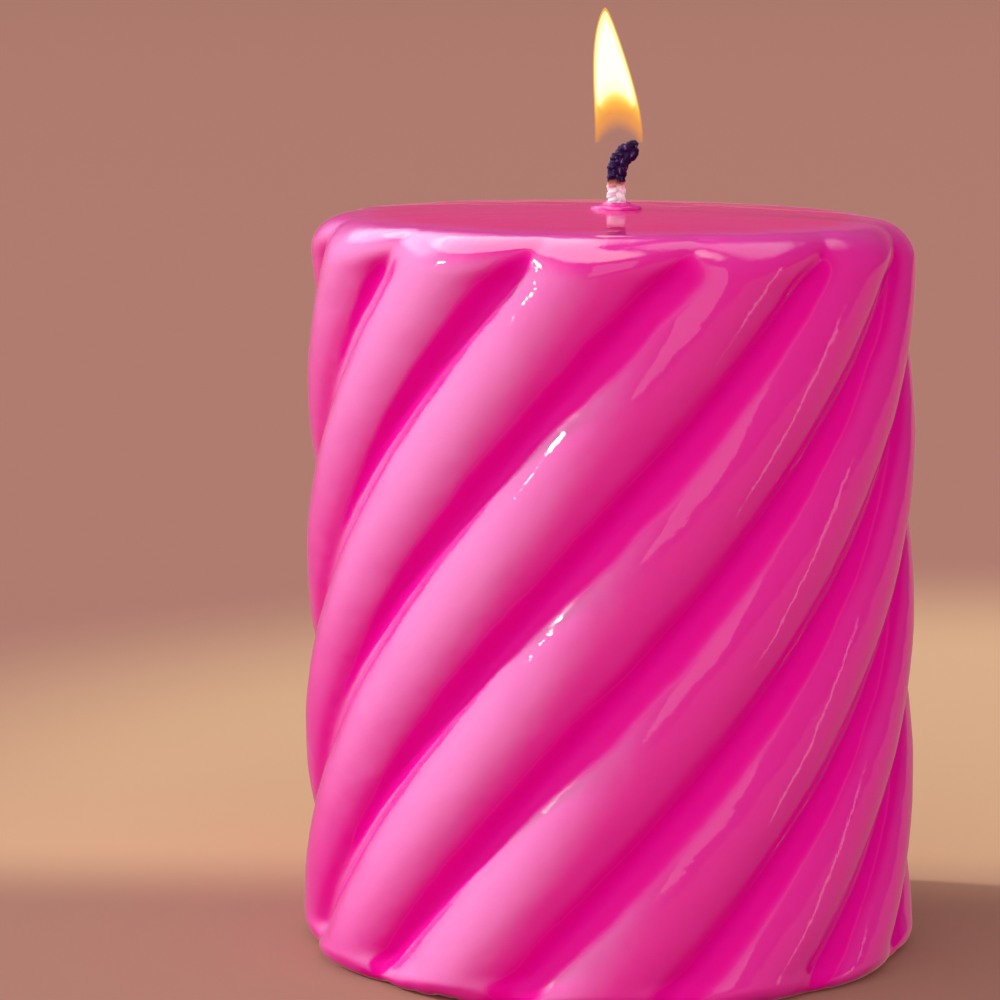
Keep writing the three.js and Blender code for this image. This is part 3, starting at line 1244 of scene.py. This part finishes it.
@dataclass
class BraidedWick:
    """A flat plait of three yarns, burnt where it curls out of the wax."""

    strands: int = 3
    strand_radius: float = 0.5 * MM
    end_inset: float = 0.4 * MM
    swing: float = 0.66 * MM
    sway: float = 0.3 * MM
    pitch: float = 3.2 * MM
    stride: float = 0.11 * MM
    plies: int = 5
    ply_relief: float = 0.09
    ply_pitch: float = 1.5 * MM
    yarn_sides: int = 20
    upright: float = 3 * MM
    curl_length: float = 5.5 * MM
    curl: float = math.radians(100)
    char_start: float = 93.2 * MM
    char_swell: float = 0.2
    char_grow: float = 2 * MM
    char_edge: float = 0.5 * MM
    clump_size: float = 0.42 * MM
    clump_height: float = 0.34 * MM
    clump_level: float = 0.55
    seed: float = 2.3

    def route(self, start: float) -> list[tuple[float, float, float]]:
        """The wick's middle line.

        Args:
            start: height of its lower end.

        Returns:
            Points as x, z and lean, one stride apart.
        """
        x, z = WICK_OFFSET, WAX_TOP + self.upright
        straight = round((z - start) / self.stride)
        points = [(x, lerp(start, z, step / straight), 0.0) for step in range(straight)]
        steps = round(self.curl_length / self.stride)
        for step in range(steps + 1):
            lean = self.curl * (step / steps) ** 2
            points.append((x, z, lean))
            x += math.sin(lean) * self.stride
            z += math.cos(lean) * self.stride
        return points

    def build(self) -> bpy.types.Object:
        """Makes the wick: the yarns in turn along the route, and the crust of char on them.

        Returns:
            The wick's object.
        """
        kit = ShapeTree("Burnt cotton plait")
        route = self.route(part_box("wick")[0].z + self.end_inset)
        kit.follow("Middle line", [(x, 0, z) for x, z, _ in route], {"lean": [lean for _, _, lean in route]})
        points = kit.given("Points", len(route))
        turns = kit.given("Plait turns per metre", FULL_TURN / self.pitch)
        ply_turns = kit.given("Ply turns per metre", FULL_TURN / self.ply_pitch)
        start_height = kit.given("Start height", route[0][1])
        plait = kit.sizes(self, "swing", "sway", "strand_radius")
        char = kit.sizes(self, "char_start", "char_swell", "char_grow", "clump_height", "clump_size", "seed")

        index = kit.value("GeometryNodeInputIndex")
        lean = kit.line_number("lean", index)
        middle = kit.line_place(index)
        travelled = index * self.stride
        left = (points - 1 - index) * self.stride
        tip = (1 - (1 - left / plait.strand_radius).do("MAXIMUM", 0.0) ** 2).root()
        charred = (travelled + start_height).between(char.char_start, char.char_start + char.char_grow)
        radius = plait.strand_radius * tip * (charred * char.char_swell + 1)
        ring = self.yarn_section(kit)
        yarns = []
        for strand in range(self.strands):
            turn = travelled * turns + FULL_TURN * strand / self.strands
            side = plait.swing * turn.do("SINE")
            deep = plait.sway * (turn * 2).do("SINE")
            offset = kit.vector(side * lean.do("COSINE"), deep, side * lean.do("SINE") * -1)
            line = kit.value("GeometryNodeMeshLine", Count=points)
            line = kit.value("GeometryNodeSetPosition", Geometry=line, Position=middle, Offset=offset)
            curve = kit.value("GeometryNodeMeshToCurve", Mesh=line)
            curve = kit.value("GeometryNodeSetCurveRadius", Curve=curve, Radius=radius)
            curve = kit.value("GeometryNodeSetCurveTilt", Curve=curve, Tilt=travelled * ply_turns)
            size = kit.value("GeometryNodeInputRadius")
            ends = {"Fill_Caps": True, "Scale": size}
            yarns.append(kit.value("GeometryNodeCurveToMesh", Curve=curve, Profile_Curve=ring, **ends))
        burnt = kit.parts(kit.place())[2].between(char.char_start, char.char_start + self.char_edge)
        clumps = kit.noise(kit.scaled(kit.place(), 1 / char.clump_size), char.seed, detail=3.0)
        push = (clumps - self.clump_level) * burnt * char.clump_height
        shape = kit.pushed(kit.joined(yarns), push)
        piece = kit.make("wick_plait", shape, BurntCotton().material(self.char_start))
        return dressed(piece, "wick")

    def yarn_section(self, kit: ShapeTree) -> Value:
        """The section of a yarn.

        Args:
            kit: the tree that gets it.

        Returns:
            A ring with a lobe for each ply.
        """
        plies = kit.given("Plies in a yarn", float(self.plies))
        given = kit.sizes(self, "ply_relief", "yarn_sides")
        ring = kit.value("GeometryNodeCurvePrimitiveCircle", "Curve", Resolution=given.yarn_sides, Radius=1.0)
        x, y, _ = kit.parts(kit.place())
        lobes = (y.do("ARCTAN2", x) * plies).do("COSINE") * given.ply_relief + 1
        place = kit.vector(x * lobes, y * lobes, 0.0)
        return kit.value("GeometryNodeSetPosition", Geometry=ring, Position=place)


# The flame


@dataclass
class Flame:
    """A leaning drop of burning gas: hollow shells that reach over the wick, and hotter drops inside.

    `insets`, `thickness` and `warmth` go from the outermost shell inwards. The gas is clear at its base
    and turns white further up, both lower down at the flame's edges than in its middle.
    """

    insets: tuple[float, ...] = (0.0, 0.17 * MM, 0.36 * MM, 0.56 * MM)
    thickness: tuple[float, ...] = (0.36, 0.5, 0.6, 1.0)
    warmth: tuple[float, ...] = (0.32, 0.6, 0.92, 1.0)
    tip_inset: float = 2.4
    hollow_shells: int = 2
    skirt: float = 0.6 * MM
    hollow: float = 2.6 * MM
    inner_start: float = 3.2 * MM
    inner_fade: float = 2.2 * MM
    inner_cap: float = 1.6 * MM
    inner_spacing: float = 1.3
    taper: Span = (1.75, 0.68)
    base_drift: float = 0.3 * MM
    tip_drift: float = -1.45 * MM
    body_rows: int = 72
    hollow_rows: int = 12
    sides: int = 64
    clear_middle: float = 99.2 * MM
    clear_edge: float = 96.8 * MM
    fade_in: float = 3.2 * MM
    warm_in: float = 1.2 * MM
    white_middle: float = 106.4 * MM
    white_edge: float = 103.1 * MM

    def build(self) -> bpy.types.Object:
        """Makes the flame.

        Returns:
            The flame's object.
        """
        low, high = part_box("flame")
        base = low.z - self.skirt
        kit = ShapeTree("Nested flame shells")
        base_height = kit.given("Base height", base)
        height = kit.given("Height", high.z - base)
        radius = kit.given("Base radius", node_radius("flame"))
        base_drift = kit.given("Base drift", self.base_drift + WICK_OFFSET)
        tip_drift = kit.given("Tip drift", self.tip_drift + WICK_OFFSET)
        rows = kit.given("Rows", self.hollow_rows + self.body_rows)
        given = kit.sizes(self, "sides", "hollow", "inner_start", "inner_cap")
        seen = kit.sizes(self, "clear_middle", "clear_edge", "white_middle", "white_edge")
        shells = []
        for number, (inset, thickness, warmth) in enumerate(zip(self.insets, self.thickness, self.warmth)):
            sheet, turn, row = kit.sheet(given.sides, rows)
            angle = turn * FULL_TURN
            top = height - inset * self.tip_inset
            if number < self.hollow_shells:
                inside = (row / self.hollow_rows).do("MINIMUM", 1.0)
                rise = ((row - self.hollow_rows) / self.body_rows).do("MAXIMUM", 0.0)
                shown = row.do("GREATER_THAN", self.hollow_rows - 0.5)
                share = (inside * QUARTER_TURN).do("SINE").blend(self.outline(rise), shown)
                up = given.hollow * (1 - inside**2) + (top - inset) * rise + inset
                reach = share * (radius - inset)
            else:
                risen = (top - given.inner_start) * (row / rows) ** self.inner_spacing
                up = given.inner_start + risen
                rounding = (1 - (1 - (risen / given.inner_cap).do("MINIMUM", 1.0)) ** 2).root()
                reach = (self.outline(up / top) * radius - inset).do("MAXIMUM", 0.0) * rounding
                shown = risen.between(0.0, self.inner_fade)
            drift = base_drift.blend(tip_drift, (up / height).between(0.0, 1.0))
            level = base_height + up
            place = kit.vector(reach * angle.do("COSINE") + drift, reach * angle.do("SINE"), level)
            beside = (angle.do("COSINE") * reach / radius) ** 2
            clear = seen.clear_middle.blend(seen.clear_edge, beside)
            white = seen.white_middle.blend(seen.white_edge, beside)
            solid = level.between(clear, clear + self.fade_in) * thickness * shown
            heat = level.between(clear + self.warm_in, white) * warmth
            shells.append(kit.moved(kit.stored(sheet, thickness=solid, warmth=heat), place))
        piece = kit.make("flame_shells", kit.joined(shells), BurningGas().material())
        return dressed(piece, "flame")

    def outline(self, rise: Value) -> Value:
        """The drop's radius at a share of its height, as a share of its widest."""
        shoulder, tip = self.taper
        return (1 - rise**shoulder).do("MAXIMUM", 0.0) ** tip


# The studio


class LightUse(Enum):
    """What a soft light does."""

    SHADE = "lights surfaces and stays out of their gloss"
    GLOSS = "shows in the gloss of surfaces and lights nothing"


@dataclass
class SoftLight:
    """A piece of a large sphere round the candle that glows inwards, and that the camera doesn't see.

    Its centre is an azimuth and an elevation, in degrees as `direction` takes them, and `half_size` goes
    with them. The glow is full inside the share `full` of its half sizes and fades out towards its edge.
    """

    name: str
    centre: Span
    half_size: Span
    radiance: float
    use: LightUse = LightUse.GLOSS
    tilt: float = 0.0
    full: float = 0.0
    squareness: float = 2.0
    tint: tuple[float, float, float] = (1.0, 1.0, 1.0)
    distance: float = 1.1
    cells: int = 48

    def finish(self) -> bpy.types.Material:
        """The sheet's glow, which is stored on its points and adds to what lies behind it.

        Returns:
            The material.
        """
        kit = FinishTree(self.name)
        kit.tree.nodes.remove(kit.shader)
        strength = kit.attribute("glow") * self.radiance
        light = kit.value("ShaderNodeEmission", Color=(*self.tint, 1.0), Strength=strength)
        both = kit.node("ShaderNodeAddShader")
        for slot, part in zip(both.inputs, (light, kit.value("ShaderNodeBsdfTransparent"))):
            Value.feed(kit.tree, slot, part)
        kit.tree.links.new(both.outputs[0], kit.tree.nodes["Material Output"].inputs["Surface"])
        return kit.material

    def build(self, aim: Vector) -> None:
        """Adds the light.

        Args:
            aim: the middle of its sphere.
        """
        turn, lift = math.cos(self.tilt), math.sin(self.tilt)
        steps = [lerp(-1, 1, step / self.cells) for step in range(self.cells + 1)]
        points, glows = [], []
        for across in steps:
            for along in steps:
                wide, tall = across * self.half_size[0], along * self.half_size[1]
                azimuth = self.centre[0] + wide * turn - tall * lift
                elevation = self.centre[1] + wide * lift + tall * turn
                points.append(aim + direction(azimuth, elevation) * self.distance)
                corner = abs(across) ** self.squareness + abs(along) ** self.squareness
                glows.append(1 - smoothstep(self.full, 1, corner ** (1 / self.squareness)))
        faces = []
        for column in range(self.cells):
            for row in range(self.cells):
                corner = column * len(steps) + row
                faces.append((corner, corner + 1, corner + len(steps) + 1, corner + len(steps)))
        mesh = bpy.data.meshes.new(self.name)
        mesh.from_pydata(points, [], faces)
        mesh.attributes.new("glow", "FLOAT", "POINT").data.foreach_set("value", glows)
        mesh.materials.append(self.finish())
        sheet = linked(self.name, mesh)
        sheet.visible_camera = False
        sheet.visible_shadow = False
        sheet.visible_transmission = False
        sheet.visible_diffuse = self.use is LightUse.SHADE
        sheet.visible_glossy = self.use is LightUse.GLOSS


SOFT_LIGHTS = (
    SoftLight("left_haze", (-82, 12), (106, 58), 3.8, tilt=-0.42, tint=(0.3, 1.0, 1.14)),
    SoftLight("left_upper", (-128, 40), (50, 18), 2.5, full=0.4, tint=(0.8, 1.0, 0.95)),
    SoftLight("low_fill", (30, 0), (100, 24), 0.42, use=LightUse.SHADE, full=0.2, distance=60.0),
    SoftLight("warm_back", (180, 8), (70, 16), 0.35, tint=(1.0, 0.12, 0.4)),
    SoftLight("right_strip", (80, -8), (2.4, 18), 1.1, full=0.7, squareness=6),
    SoftLight("spark_card", (-67, 25), (5, 2.6), 60.0, full=0.7),
    SoftLight("second_spark", (-70, 19.5), (1.6, 0.9), 30.0, full=0.7),
    SoftLight("front_window", (8, 23), (17, 15), 0.85, full=0.96, squareness=14),
    SoftLight("high_window", (-75, 66), (122, 23), 4.1, full=0.75, squareness=4, tint=(0.9, 1.0, 0.85)),
    SoftLight("right_window", (100, 64), (60, 25), 1.6, full=0.5, squareness=4),
    SoftLight("room_light", (-12, 18), (120, 50), 1.11, use=LightUse.SHADE, full=0.2, distance=60.0),
)


@dataclass
class Studio:
    """Camera, the air's light, floor and lights."""

    camera_place: tuple = (0.0, -472.4 * MM, 120.66 * MM)
    pitch: float = math.radians(7.97)
    yaw: float = math.radians(1.629)
    roll: float = math.radians(0.11)
    focal_length_px: float = 3913.1
    frame_px: float = 1000.0
    sensor_mm: float = 36.0
    clip: Span = (0.01, 30.0)
    floor_radius: float = 25.0
    floor_sides: int = 128
    # The paper's colours hold painted light: near is painted shade in front of the candle, pale a painted
    # pool of light behind it, and far painted shade far off, in the backdrop's tone.
    near: Colour = linear(178, 138, 118)
    pale: Colour = linear(226, 187, 146)
    far: Colour = linear(182, 133, 118)
    painted_light_behind: Span = (12 * MM, 50 * MM)
    painted_light_centre: Span = (80 * MM, 50 * MM)
    painted_shade_far_from: Span = (150 * MM, 260 * MM)
    mottle_size: float = 60 * MM
    mottle_matting: float = 0.1
    roughness: float = 0.75
    horizon: Colour = linear(176, 127, 111)
    air: Colour = (0.42, 0.39, 0.44, 1.0)
    air_edge: Span = (0.3, 0.6)
    skyline: Span = (-0.03, 0.02)
    air_in_gloss: Span = (0.35, 0.4)
    back_edge: Span = (0.0, 0.6)
    right_in_gloss: float = 0.12
    right_edge: Span = (0.3, 0.8)
    floor_in_gloss: Span = (1.08, 0.1)
    floor_darkens: Span = (0.2, 0.75)
    light_aim: tuple = (0.0, 0.0, 55 * MM)
    sun_from: Span = (-99, 28.8)
    sun_angle: float = 0.05
    sun_strength: float = 1.9

    def camera(self) -> None:
        """Adds the camera that sees the candle as the photograph does."""
        lens = bpy.data.cameras.new("photo_camera")
        lens.sensor_width = self.sensor_mm
        lens.lens = self.focal_length_px / self.frame_px * self.sensor_mm
        lens.clip_start, lens.clip_end = self.clip
        right = Vector((math.cos(self.yaw), math.sin(self.yaw), 0))
        level = Vector((-math.sin(self.yaw), math.cos(self.yaw), 0))
        forward = level * math.cos(self.pitch) - Vector((0, 0, math.sin(self.pitch)))
        up = level * math.sin(self.pitch) + Vector((0, 0, math.cos(self.pitch)))
        tilted_right = right * math.cos(self.roll) + up * math.sin(self.roll)
        tilted_up = up * math.cos(self.roll) - right * math.sin(self.roll)
        holder = linked("photo_camera", lens)
        turn = Matrix((tilted_right, tilted_up, -forward)).transposed()
        holder.matrix_world = Matrix.Translation(self.camera_place) @ turn.to_4x4()
        bpy.context.scene.camera = holder

    def world(self) -> None:
        """A soft light from all round. The gloss sees it dimmed, most at the right, and as a floor below."""
        world = bpy.data.worlds.new("studio_air")
        bpy.context.scene.world = world
        world.use_nodes = True
        kit = TreeKit(world.node_tree)
        sideways, away, height = kit.parts(kit.value("ShaderNodeTexCoord", "Generated"))
        below = height * -1
        front, back = self.air_in_gloss
        dimmed = away.between(*self.back_edge) * (back - front) + front
        dimmed = dimmed * (1 - sideways.between(*self.right_edge) * (1 - self.right_in_gloss))
        near, under = self.floor_in_gloss
        ground = below.between(*self.floor_darkens) * (under - near) + near
        dimmed = dimmed.blend(ground, below.between(*self.skyline))
        in_gloss = kit.value("ShaderNodeLightPath", "Is Glossy Ray")
        background = kit.tree.nodes["Background"].inputs
        colour = kit.colours(self.horizon, self.air, height.between(*self.air_edge))
        Value.feed(kit.tree, background["Color"], colour)
        Value.feed(kit.tree, background["Strength"], 1 - in_gloss * (1 - dimmed))

    def paper(self) -> bpy.types.Material:
        """Paper with painted light: a painted pool of light behind the candle, and painted shade in front of
        it and far off.

        Returns:
            The material.
        """
        kit = FinishTree("studio_paper_painted_light")
        x, y, _ = kit.parts(kit.place)
        centre_x, centre_y = self.painted_light_centre
        aside = ((x - centre_x) ** 2 + (y - centre_y) ** 2).root()
        middle = kit.colours(self.near, self.pale, y.between(*self.painted_light_behind))
        colour = kit.colours(middle, self.far, aside.between(*self.painted_shade_far_from))
        roughness = kit.noise(self.mottle_size) * self.mottle_matting + self.roughness
        kit.set(Base_Color=colour, Roughness=roughness, Specular_IOR_Level=0.0)
        return kit.material

    def floor(self) -> None:
        """A floor far wider than the view, with painted light and shade in its colour, that the gloss doesn't
        see.
        """
        mesh = bpy.data.meshes.new("floor")
        disc = bmesh.new()
        bmesh.ops.create_circle(disc, cap_ends=True, segments=self.floor_sides, radius=self.floor_radius)
        disc.to_mesh(mesh)
        disc.free()
        mesh.materials.append(self.paper())
        sheet = linked("floor", mesh)
        sheet.visible_glossy = False

    def sun(self) -> None:
        """The one lamp, which casts the soft shadow and stays out of the gloss."""
        lamp = bpy.data.lights.new("spark_lamp", "SUN")
        lamp.angle = self.sun_angle
        lamp.energy = self.sun_strength
        holder = linked("spark_lamp", lamp)
        holder.visible_glossy = False
        holder.matrix_world = direction(*self.sun_from).to_track_quat("Z", "Y").to_matrix().to_4x4()

    def build(self) -> None:
        """Builds the studio."""
        self.camera()
        self.world()
        self.floor()
        for light in SOFT_LIGHTS:
            light.build(Vector(self.light_aim))
        self.sun()


def main() -> None:
    """Builds the candle and its studio, and reports each piece."""
    scene = bpy.context.scene
    scene.view_settings.view_transform = "Standard"
    for spare in [item for item in bpy.data.objects if item.name in ("Cube", "Light", "Camera")]:
        bpy.data.objects.remove(spare)
    Studio().build()
    wax = Wax()
    pieces = [wax.coat(), wax.core(), wax.collar.build()]
    pieces += [part.build() for part in (WickTab(), BraidedWick(), Flame())]
    for piece in pieces:
        log.info("%s: %d faces", piece.name, len(piece.data.polygons))


if __name__ == "__main__":
    main()
